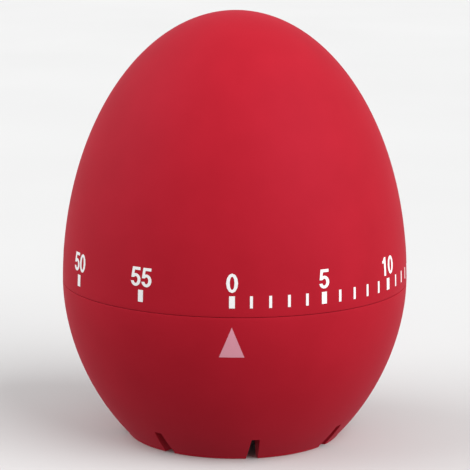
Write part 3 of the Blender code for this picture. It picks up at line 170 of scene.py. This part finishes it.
# ================================================================ curves of the egg
def lower_radius(height, inset=0.0):
    """Radius of the lower half at a height, with its curve moved inwards by inset."""
    drop = max(0.0, (SEAM_HEIGHT - height) / (LOWER_DEPTH - inset))
    return (EGG_RADIUS - inset) * (1 - drop**LOWER_POWER) ** (1 / LOWER_POWER)


def upper_radius(height, inset=0.0):
    """Radius of the dial's ellipse at a height."""
    rise = EGG_HEIGHT - SEAM_HEIGHT - inset
    return (EGG_RADIUS - inset) * math.sqrt(max(0.0, 1 - ((height - SEAM_HEIGHT) / rise) ** 2))


def upper_wall_height(radius):
    """Height at which the dial's wall, at the middle of its thickness, has this radius."""
    inset = WALL / 2
    share = math.sqrt(1 - (radius / (EGG_RADIUS - inset)) ** 2)
    return SEAM_HEIGHT + (EGG_HEIGHT - SEAM_HEIGHT - inset) * share


def lower_wall_height(radius):
    """The same for the lower half's wall."""
    inset = WALL / 2
    share = 1 - (radius / (EGG_RADIUS - inset)) ** LOWER_POWER
    return SEAM_HEIGHT - (LOWER_DEPTH - inset) * share ** (1 / LOWER_POWER)


def ellipse_points(inset, count, last_height):
    """Points (radius, height) down the dial's ellipse, from the crown to a height above the seam."""
    rise = EGG_HEIGHT - SEAM_HEIGHT - inset
    end = math.asin((last_height - SEAM_HEIGHT) / rise)
    points = []
    for i in range(count + 1):
        angle = math.pi / 2 + (end - math.pi / 2) * i / count
        points.append(((EGG_RADIUS - inset) * math.cos(angle), SEAM_HEIGHT + rise * math.sin(angle)))
    points[0] = (0.0, points[0][1])
    return points


def corner(centre, radius, first, last, steps=5):
    """Points round a profile's rounded corner, angles in degrees."""
    found = []
    for i in range(steps + 1):
        x, y = polar(radius, first + (last - first) * i / steps)
        found.append((centre[0] + x, centre[1] + y))
    return found


# ================================================================ mesh helpers
def mesh_object(name, shape):
    """Makes an object from a bmesh and frees it. Its faces point outwards, on a thin sheet too."""
    bmesh.ops.recalc_face_normals(shape, faces=shape.faces)
    if shape.calc_volume(signed=True) < 0:
        bmesh.ops.reverse_faces(shape, faces=shape.faces)
    mesh = bpy.data.meshes.new(name)
    shape.to_mesh(mesh)
    shape.free()
    obj = bpy.data.objects.new(name, mesh)
    bpy.context.scene.collection.objects.link(obj)
    return obj


def lathe(name, profile, closed=False, steps=AROUND):
    """A surface of revolution about Z. A profile that isn't closed starts and ends on the axis."""
    shape = bmesh.new()
    rings = []
    for radius, height in profile:
        if radius == 0.0:
            rings.append([shape.verts.new((0.0, 0.0, height))])
            continue
        circle = []
        for i in range(steps):
            x, y = polar(radius, 360 * i / steps)
            circle.append(shape.verts.new((x, y, height)))
        rings.append(circle)
    pairs = list(zip(rings, rings[1:]))
    if closed:
        pairs.append((rings[-1], rings[0]))
    for upper, lower in pairs:
        for i in range(steps):
            j = (i + 1) % steps
            corners = [upper[i % len(upper)], upper[j % len(upper)]]
            corners += [lower[j % len(lower)], lower[i % len(lower)]]
            face = list(dict.fromkeys(corners))
            if len(face) > 2:
                shape.faces.new(face)
    return mesh_object(name, shape)


def rod(name, radius, low, high, place, steps=24):
    """A cylinder for joining or cutting. Either end may be a function of the distance from the axis."""
    shape = bmesh.new()
    bmesh.ops.create_cone(shape, cap_ends=True, segments=steps, radius1=radius, radius2=radius, depth=2.0)
    bmesh.ops.rotate(shape, matrix=Matrix.Rotation(math.radians(ROD_TURN), 3, "Z"), verts=shape.verts)
    bmesh.ops.translate(shape, vec=(place[0], place[1], 0.0), verts=shape.verts)
    for vert in shape.verts:
        end = high if vert.co.z > 0 else low
        vert.co.z = end(math.hypot(vert.co.x, vert.co.y)) if callable(end) else end
    return mesh_object(name, shape)


def combine(obj, others, operation):
    """Joins or cuts an object with others and keeps the result as its mesh."""
    for other in others:
        modifier = obj.modifiers.new(other.name, "BOOLEAN")
        modifier.operation = operation
        modifier.solver = "EXACT"
        modifier.object = other
    bpy.context.view_layer.update()
    graph = bpy.context.evaluated_depsgraph_get()
    made = bpy.data.meshes.new_from_object(obj.evaluated_get(graph))
    obj.modifiers.clear()
    obj.data = made
    for other in others:
        bpy.data.objects.remove(other)
    return obj


def smooth(obj, sharp_angle=35.0):
    """Rounds the shading, except at edges sharper than an angle in degrees."""
    obj.data.shade_smooth()
    obj.data.set_sharp_from_angle(angle=math.radians(sharp_angle))
    return obj


def node_middle(node):
    """The middle of a CAD node's box."""
    low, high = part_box(node)
    return (low + high) / 2


# ================================================================ node materials
def new_material(name):
    """A Principled material and the tools to wire its nodes."""
    material = bpy.data.materials.new(name)
    material.use_nodes = True
    return material, material.node_tree.nodes["Principled BSDF"]


def add_node(material, kind, settings=None, **inputs):
    """Adds a node, sets its sockets by name and its properties from settings."""
    node = material.node_tree.nodes.new(kind)
    for key, value in (settings or {}).items():
        setattr(node, key, value)
    for key, value in inputs.items():
        node.inputs[key.replace("_", " ")].default_value = value
    return node


def wire(material, output, target):
    material.node_tree.links.new(output, target)


def object_coordinates(material, stretch=(1.0, 1.0, 1.0)):
    """Object coordinates in metres, stretched along the axes."""
    coordinates = add_node(material, "ShaderNodeTexCoord")
    mapping = add_node(material, "ShaderNodeMapping", Scale=stretch)
    wire(material, coordinates.outputs["Object"], mapping.inputs["Vector"])
    return mapping.outputs["Vector"]


def noise(material, vector, scale, detail=2.0, roughness=0.5):
    """Noise with this many features to the metre."""
    node = add_node(material, "ShaderNodeTexNoise", Scale=scale, Detail=detail, Roughness=roughness)
    wire(material, vector, node.inputs["Vector"])
    return node.outputs["Fac"]


def colour_between(material, factor, first, second, low=0.3, high=0.7):
    """Blends two colours by a factor, with the blend between low and high."""
    ramp = add_node(material, "ShaderNodeValToRGB")
    ramp.color_ramp.elements[0].position = low
    ramp.color_ramp.elements[1].position = high
    ramp.color_ramp.elements[0].color = (*first, 1.0)
    ramp.color_ramp.elements[1].color = (*second, 1.0)
    wire(material, factor, ramp.inputs["Fac"])
    return ramp.outputs["Color"]


def value_between(material, factor, first, second):
    """Spreads a factor over a range of values."""
    node = add_node(material, "ShaderNodeMapRange", {}, To_Min=first, To_Max=second)
    wire(material, factor, node.inputs["Value"])
    return node.outputs["Result"]


def bump(material, height, depth):
    """Raises the surface by a factor, up to a depth in metres."""
    node = add_node(material, "ShaderNodeBump", Distance=depth, Strength=1.0)
    wire(material, height, node.inputs["Height"])
    return node.outputs["Normal"]


def plastic(name, first, second, roughness, grain, depth, specular=0.4):
    """Moulded plastic: a faint drift of colour, and a fine even grain in its surface."""
    material, shader = new_material(name)
    shader.inputs["Specular IOR Level"].default_value = specular
    space = object_coordinates(material)
    drift = noise(material, space, 120.0, 3.0)
    fine = noise(material, space, grain, 2.0, 0.6)
    wire(material, colour_between(material, drift, first, second), shader.inputs["Base Color"])
    wire(material, value_between(material, fine, *roughness), shader.inputs["Roughness"])
    wire(material, bump(material, fine, depth), shader.inputs["Normal"])
    return material, shader


def soft_touch():
    """Red rubberised paint: even, silky, paler and slightly violet where it is seen edge on."""
    first, second = (0.388, 0.0088, 0.0175), (0.418, 0.0100, 0.0200)
    material, shader = plastic("soft_touch_red", first, second, (0.60, 0.70), 5200.0, 0.006 * MM, 0.12)
    shader.inputs["Specular Tint"].default_value = (1.0, 0.55, 1.0, 1.0)
    shader.inputs["Sheen Weight"].default_value = 0.02
    shader.inputs["Sheen Roughness"].default_value = 0.5
    shader.inputs["Sheen Tint"].default_value = (1.0, 0.50, 0.95, 1.0)
    return material


def metal(name, first, second, roughness, stretch, grain, depth):
    """Worked metal: fine lines along the way it was rolled or turned, and patches of tarnish."""
    material, shader = new_material(name)
    shader.inputs["Metallic"].default_value = 1.0
    lines = noise(material, object_coordinates(material, stretch), grain, 3.0, 0.6)
    patches = noise(material, object_coordinates(material), 260.0, 4.0)
    wire(material, colour_between(material, patches, first, second, 0.35, 0.65), shader.inputs["Base Color"])
    wire(material, value_between(material, lines, *roughness), shader.inputs["Roughness"])
    wire(material, bump(material, lines, depth), shader.inputs["Normal"])
    return material


def ink(name, first, second, roughness):
    """Pad-printed ink: slightly uneven cover."""
    return plastic(name, first, second, roughness, 3800.0, 0.002 * MM, 0.3)[0]


def make_materials():
    """One material for each slot of the record, and the two inks."""
    made = {"soft_touch_red": soft_touch()}
    for name, first, second, roughness, grain, depth in PLASTICS:
        made[name] = plastic(name, first, second, roughness, grain, depth)[0]
    for name, first, second, roughness, stretch, grain, depth in METALS:
        made[name] = metal(name, first, second, roughness, stretch, grain, depth)
    for name, first, second, roughness in INKS:
        made[name] = ink(name, first, second, roughness)
    return made


def dress_cad_nodes(materials):
    """Gives every CAD node the material of its slot."""
    for row in frame["record"]["subparts"]:
        node = frame["nodes"][row["node"]]
        node.data.materials.clear()
        node.data.materials.append(materials[row["material_slot"]])


# ================================================================ shells
def make_dial(materials):
    """The upper half: a smooth shell with rounded edges at the seam and its three bosses inside."""
    low = SEAM_HEIGHT + SEAM_GAP / 2
    edge_height = low + DIAL_EDGE
    outer = ellipse_points(0.0, DIAL_STEPS, edge_height)
    outer += corner((EGG_RADIUS - DIAL_EDGE, edge_height), DIAL_EDGE, 0, -90)[1:]
    inner = ellipse_points(WALL, DIAL_INNER_STEPS, edge_height)[::-1]
    inner[0] = (EGG_RADIUS - WALL, low)
    dial = lathe("dial_shell", outer + inner)
    bosses, pilots = [], []
    for n, screw in enumerate(DISC_SCREWS):
        place = node_middle(screw)
        head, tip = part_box(screw)[0].z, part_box(screw)[1].z
        disc_top = head + SCREW_HEAD_HEIGHT + SEAT_GAP + DISC_THICKNESS
        bosses.append(rod(f"boss_{n}", POST_RADIUS, disc_top + SEAT_GAP, upper_wall_height, place))
        pilots.append(rod(f"boss_pilot_{n}", SCREW_HOLE, head, tip + SEAT_GAP, place))
    combine(dial, bosses, "UNION")
    combine(dial, pilots, "DIFFERENCE")
    dial.data.materials.append(materials["soft_touch_red"])
    smooth(dial)
    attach(dial, "dial")
    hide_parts("upper_shell")


def base_profile():
    """Section of the lower half: collar, rounded seam edge, outer curve, foot rim, floor and inner side."""
    top = SEAM_HEIGHT - SEAM_GAP / 2
    points = [(COLLAR_OUTER, COLLAR_TOP), (COLLAR_OUTER, top)]
    points += corner((EGG_RADIUS - BASE_EDGE, top - BASE_EDGE), BASE_EDGE, 90, 0)
    for i in range(1, BASE_STEPS + 1):
        height = FOOT_EDGE + (top - BASE_EDGE - FOOT_EDGE) * (1 - i / BASE_STEPS) ** STEP_SPREAD
        points.append((lower_radius(height), height))
    foot = points[-1][0]
    points += [(foot - 0.18 * FOOT_EDGE, 0.45 * FOOT_EDGE), (foot - 0.5 * FOOT_EDGE, 0.12 * FOOT_EDGE)]
    points.append((foot - FOOT_EDGE, 0.0))
    rim = lower_radius(0.0) - WALL
    points += [(rim, 0.0), (rim, FLOOR_HEIGHT), (FLOOR_OPENING, FLOOR_HEIGHT), (FLOOR_OPENING, FLOOR_TOP)]
    for i in range(BASE_INNER_STEPS + 1):
        height = FLOOR_TOP + (INNER_WALL_TOP - FLOOR_TOP) * (i / BASE_INNER_STEPS) ** STEP_SPREAD
        points.append((lower_radius(height, WALL), height))
    return points + [(COLLAR_INNER, COLLAR_FOOT), (COLLAR_INNER, COLLAR_TOP)]


def notch_cutters():
    """One tapered cutter for each sound notch in the foot rim."""
    start = lower_radius(0.0) - WALL - MM
    cutters = []
    for n in range(NOTCH_COUNT):
        shape = bmesh.new()
        made = bmesh.ops.create_cube(shape, size=1.0)["verts"]
        for vert in made:
            above = vert.co.z > 0
            width = NOTCH_TOP_WIDTH if above else NOTCH_FOOT_WIDTH
            height = NOTCH_HEIGHT if above else -NOTCH_HEIGHT / 4
            vert.co = (start if vert.co.x < 0 else EGG_RADIUS, math.copysign(width / 2, vert.co.y), height)
        turn = Matrix.Rotation(math.radians(NOTCH_FIRST_ANGLE + 360 * n / NOTCH_COUNT), 3, "Z")
        bmesh.ops.rotate(shape, matrix=turn, verts=made)
        cutters.append(mesh_object(f"notch_{n}", shape))
    return cutters


def make_base(materials):
    """The lower half, with its floor, sound notches, collar and the posts that carry the movement."""
    base = lathe("base_shell", base_profile(), closed=True)
    posts, pilots = [], []
    post_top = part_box("upper_plate")[0].z - SEAT_GAP
    for n, screw in enumerate(PLATE_SCREWS):
        place = node_middle(screw)
        tip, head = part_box(screw)[0].z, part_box(screw)[1].z
        posts.append(rod(f"post_{n}", POST_RADIUS, lower_wall_height, post_top, place))
        pilots.append(rod(f"post_pilot_{n}", SCREW_HOLE, tip - SEAT_GAP, head, place))
    for n, screw in enumerate(COVER_SCREWS):
        place = node_middle(screw)
        pilots.append(rod(f"floor_pilot_{n}", SCREW_HOLE, FLOOR_HEIGHT - MM, FLOOR_TOP + MM, place))
    combine(base, posts, "UNION")
    combine(base, pilots + notch_cutters(), "DIFFERENCE")
    base.data.materials.append(materials["soft_touch_red"])
    smooth(base)
    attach(base, "root")
    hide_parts("lower_shell")


# ================================================================ printing
def on_dial(across, height, lift, minute):
    """A point of the dial's print: across runs to the right from the minute's own mark."""
    radius = upper_radius(height) + lift
    angle = math.radians(minute * MINUTE) + across / upper_radius(height)
    return (radius * math.sin(angle), -radius * math.cos(angle), height)


def on_base(across, height, lift, minute):
    """The same on the lower half."""
    radius = lower_radius(height) + lift
    angle = math.radians(minute * MINUTE) + across / radius
    return (radius * math.sin(angle), -radius * math.cos(angle), height)


def print_shape(shape, place, minute):
    """Wraps flat bmesh faces (x across, y height) onto the egg as a thin closed layer of ink."""
    for _ in range(INK_SPLITS):
        long_edges = [edge for edge in shape.edges if edge.calc_length() > INK_MESH]
        if not long_edges:
            break
        bmesh.ops.subdivide_edges(shape, edges=long_edges, cuts=1)
        bmesh.ops.triangulate(shape, faces=[face for face in shape.faces if len(face.verts) > 4])
    bmesh.ops.recalc_face_normals(shape, faces=shape.faces)
    flat_points = {vert: vert.co.copy() for vert in shape.verts}
    front = list(shape.faces)
    copied = bmesh.ops.duplicate(shape, geom=list(shape.verts) + list(shape.edges) + front)
    twins = {new: old for old, new in copied["vert_map"].items() if new not in flat_points}
    rim = [edge for edge in shape.edges if edge.is_boundary and all(v in flat_points for v in edge.verts)]
    partner = {old: new for new, old in twins.items()}
    for edge in rim:
        one, other = edge.verts
        shape.faces.new((one, other, partner[other], partner[one]))
    for vert, flat in flat_points.items():
        vert.co = place(flat.x, flat.y, INK_LIFT + INK_THICKNESS, minute)
        partner[vert].co = place(flat.x, flat.y, INK_LIFT, minute)


def rectangle(shape, left, right, low, high):
    """Adds one flat face."""
    places = ((left, low), (right, low), (right, high), (left, high))
    shape.faces.new([shape.verts.new((x, y, 0.0)) for x, y in places])


def ring(centre, radii, first, last, steps=12):
    """Points along part of an ellipse, angles in degrees."""
    points = []
    for i in range(steps + 1):
        angle = math.radians(first + (last - first) * i / steps)
        points.append((centre[0] + radii[0] * math.cos(angle), centre[1] + radii[1] * math.sin(angle)))
    return points


def bowl(middle, radii, first, last):
    """Both sides of a digit's bowl: the outer one way, and the inner back."""
    inner = (radii[0] - STEM, radii[1] - BAR)
    return ring(middle, radii, first, last), ring(middle, inner, last, first)


def digit_outlines(digit):
    """A digit's outline and its hole, if it has one, in a box of DIGIT_WIDTH by DIGIT_HEIGHT.

    Places are shares of that box. The digits are 0 to 5, which is all that the numbers use.
    """
    wide, high = DIGIT_WIDTH, DIGIT_HEIGHT
    half = wide / 2
    if digit == "0":
        outer, inner = bowl((half, high / 2), (half, high / 2), 0, 360)
        return [outer[:-1], inner[:-1]]
    if digit == "1":
        right, flag, drop = 0.70 * wide, 0.14 * wide, 0.31 * high
        left = right - STEM
        return [
            [(left, 0.0), (right, 0.0), (right, high), (right - 0.42 * MM, high)]
            + ring((flag, high), (left - flag, 0.18 * high), -15, -90, 4)
            + [(flag, high - drop), (left, high - drop)]
        ]
    if digit == "2":
        top, turn = high - half, 0.15 * high
        outer, inner = bowl((half, top), (half, half), 172, -38)
        slope = [(0.58 * wide, 0.29 * high), (0.42 * wide, BAR)]
        back = [(0.0, turn), (0.34 * wide, 0.33 * high)]
        return [outer + slope + [(wide, BAR), (wide, 0.0), (0.0, 0.0)] + back + inner]
    if digit == "3":
        waist, cut = 0.53 * high, 0.40 * wide
        upper, lower = (high - waist + BAR / 2) / 2, (waist + BAR / 2) / 2
        upper_outer = ring((half, high - upper), (half * 0.94, upper), 168, -42)
        lower_outer = ring((half, lower), (half, lower), 50, -168)
        bar = [(cut, waist - BAR / 2), (cut, waist + BAR / 2)]
        turn = ring((half, high - upper), (half * 0.94 - STEM, upper - BAR), -80, 168)
        bend = ring((half, lower), (half - STEM, lower - BAR), -168, 80)
        return [upper_outer + lower_outer + bend + bar + turn]
    if digit == "4":
        left, right = 0.59 * wide, 0.59 * wide + STEM
        low, top = 0.21 * high, 0.21 * high + BAR
        outer = [(left, 0.0), (right, 0.0), (right, low), (wide, low), (wide, top), (right, top)]
        outer += [(right, high), (left - 0.04 * MM, high), (0.0, top + 0.04 * MM), (0.0, low), (left, low)]
        return [outer, [(left, top), (0.24 * wide, top), (left, 0.74 * high)]]
    lower = 0.335 * high
    outer = ring((half, lower), (half, lower), 108, -166)
    bend = ring((half, lower), (half - STEM, lower - BAR), -160, 140)
    foot, head = (0.06 * wide, 0.445 * high), 0.17 * wide
    stem = [foot, (head, high), (0.95 * wide, high), (0.95 * wide, high - BAR), (0.40 * wide, high - BAR)]
    return [outer + bend + stem]


def flat_number(number):
    """A number as flat faces, centred across, standing on the digits' base line."""
    curve = bpy.data.curves.new("number", "CURVE")
    curve.dimensions = "2D"
    curve.fill_mode = "BOTH"
    digits = str(number)
    total = DIGIT_WIDTH + DIGIT_PITCH * (len(digits) - 1)
    for n, digit in enumerate(digits):
        start = n * DIGIT_PITCH - total / 2
        for outline in digit_outlines(digit):
            spline = curve.splines.new("POLY")
            spline.points.add(len(outline) - 1)
            spline.use_cyclic_u = True
            for target, (x, y) in zip(spline.points, outline):
                target.co = (start + x, DIGIT_LOW + y, 0.0, 1.0)
    source = bpy.data.objects.new("number", curve)
    bpy.context.scene.collection.objects.link(source)
    bpy.context.view_layer.update()
    mesh = bpy.data.meshes.new_from_object(source.evaluated_get(bpy.context.evaluated_depsgraph_get()))
    bpy.data.objects.remove(source)
    shape = bmesh.new()
    shape.from_mesh(mesh)
    bmesh.ops.remove_doubles(shape, verts=shape.verts, dist=0.001 * MM)
    bmesh.ops.triangulate(shape, faces=shape.faces)
    bmesh.ops.beautify_fill(shape, faces=shape.faces, edges=shape.edges)
    return shape


def finish_print(name, shape, material, body):
    """Makes the printed piece and lets it ride its body."""
    obj = mesh_object(name, shape)
    obj.data.materials.append(material)
    smooth(obj, 60.0)
    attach(obj, body)
    return obj


def make_scale(materials):
    """Marks at each minute from 0 to 15 and at every fifth minute beyond, and the numbers over them."""
    for minute in range(DIAL_MINUTES):
        major = minute % NUMBER_EVERY == 0
        if not major and minute > FINE_MINUTES:
            continue
        width = MAJOR_WIDTH if major else MINOR_WIDTH
        shape = bmesh.new()
        rectangle(shape, -width / 2, width / 2, TICK_LOW, TICK_LOW + TICK_HEIGHT)
        print_shape(shape, on_dial, minute)
        finish_print(f"mark_{minute:02d}", shape, materials["white_ink"], "dial")
        if major:
            number = flat_number(minute)
            print_shape(number, on_dial, minute)
            finish_print(f"number_{minute:02d}", number, materials["white_ink"], "dial")


def make_pointer(materials):
    """The triangle on the lower half, its tip towards the scale."""
    shape = bmesh.new()
    last = None
    for i in range(POINTER_ROWS + 1):
        height = POINTER_TOP - POINTER_HEIGHT * i / POINTER_ROWS
        half = max(POINTER_WIDTH / 2 * i / POINTER_ROWS, POINTER_TIP)
        pair = [shape.verts.new((-half, height, 0.0)), shape.verts.new((half, height, 0.0))]
        if last:
            shape.faces.new((last[0], pair[0], pair[1], last[1]))
        last = pair
    print_shape(shape, on_base, 0)
    finish_print("pointer", shape, materials["pointer_ink"], "root")


# ================================================================ studio
def make_floor():
    """A wide pale floor, which doesn't colour the egg's underside."""
    shape = bmesh.new()
    bmesh.ops.create_grid(shape, x_segments=1, y_segments=1, size=FLOOR_SIZE)
    floor = mesh_object("floor", shape)
    material, shader = new_material("pale_floor")
    tone = noise(material, object_coordinates(material), 8.0)
    wire(material, colour_between(material, tone, *FLOOR_TONES), shader.inputs["Base Color"])
    shader.inputs["Roughness"].default_value = 0.8
    shader.inputs["Specular IOR Level"].default_value = 0.1
    floor.data.materials.append(material)
    floor.visible_diffuse = False


def soft_light(name, azimuth, elevation, strength, width):
    """A soft, distant light of some degrees' width. Azimuth 0 is the front, 90 the right."""
    light = bpy.data.lights.new(name, "SUN")
    light.energy = strength
    light.angle = math.radians(width)
    obj = bpy.data.objects.new(name, light)
    bpy.context.scene.collection.objects.link(obj)
    flat, rise = math.cos(math.radians(elevation)), math.sin(math.radians(elevation))
    turn = math.radians(azimuth)
    obj.location = CAMERA_TARGET + Vector((flat * math.sin(turn), -flat * math.cos(turn), rise))
    obj.rotation_euler = (CAMERA_TARGET - obj.location).to_track_quat("-Z", "Y").to_euler()


def make_studio():
    """An even sky, darker below the horizon, and two soft lights."""
    world = bpy.data.worlds.new("studio")
    world.use_nodes = True
    nodes, links = world.node_tree.nodes, world.node_tree.links
    direction = nodes.new("ShaderNodeTexCoord")
    split = nodes.new("ShaderNodeSeparateXYZ")
    level = nodes.new("ShaderNodeMapRange")
    level.inputs["From Min"].default_value = -HORIZON
    level.inputs["From Max"].default_value = HORIZON
    level.inputs["To Min"].default_value = UNDER_LIGHT
    level.inputs["To Max"].default_value = SKY_LIGHT
    background = nodes["Background"]
    background.inputs["Color"].default_value = (1.0, 1.0, 1.0, 1.0)
    links.new(direction.outputs["Generated"], split.inputs["Vector"])
    links.new(split.outputs["Z"], level.inputs["Value"])
    links.new(level.outputs["Result"], background.inputs["Strength"])
    bpy.context.scene.world = world
    soft_light("key_light", *KEY_LIGHT)
    soft_light("side_light", *SIDE_LIGHT)
    bpy.context.scene.view_settings.view_transform = "Standard"


def make_camera():
    """The camera, at a distance from its target, turned and raised in degrees from the front."""
    data = bpy.data.cameras.new("camera")
    data.lens = CAMERA_LENS
    data.sensor_width = SENSOR_WIDTH
    camera = bpy.data.objects.new("camera", data)
    bpy.context.scene.collection.objects.link(camera)
    rise, turn = math.radians(CAMERA_ELEVATION), math.radians(CAMERA_AZIMUTH)
    back = Vector((math.sin(turn) * math.cos(rise), -math.cos(turn) * math.cos(rise), math.sin(rise)))
    camera.location = CAMERA_TARGET + back * CAMERA_DISTANCE
    level = (-back).to_track_quat("-Z", "Y")
    camera.rotation_mode = "QUATERNION"
    camera.rotation_quaternion = level @ Matrix.Rotation(math.radians(CAMERA_ROLL), 3, "Z").to_quaternion()
    data.clip_start, data.clip_end = CAMERA_RANGE
    bpy.context.scene.camera = camera


make_camera()
MATERIALS = make_materials()
dress_cad_nodes(MATERIALS)
make_dial(MATERIALS)
make_base(MATERIALS)
make_scale(MATERIALS)
make_pointer(MATERIALS)
make_floor()
make_studio()
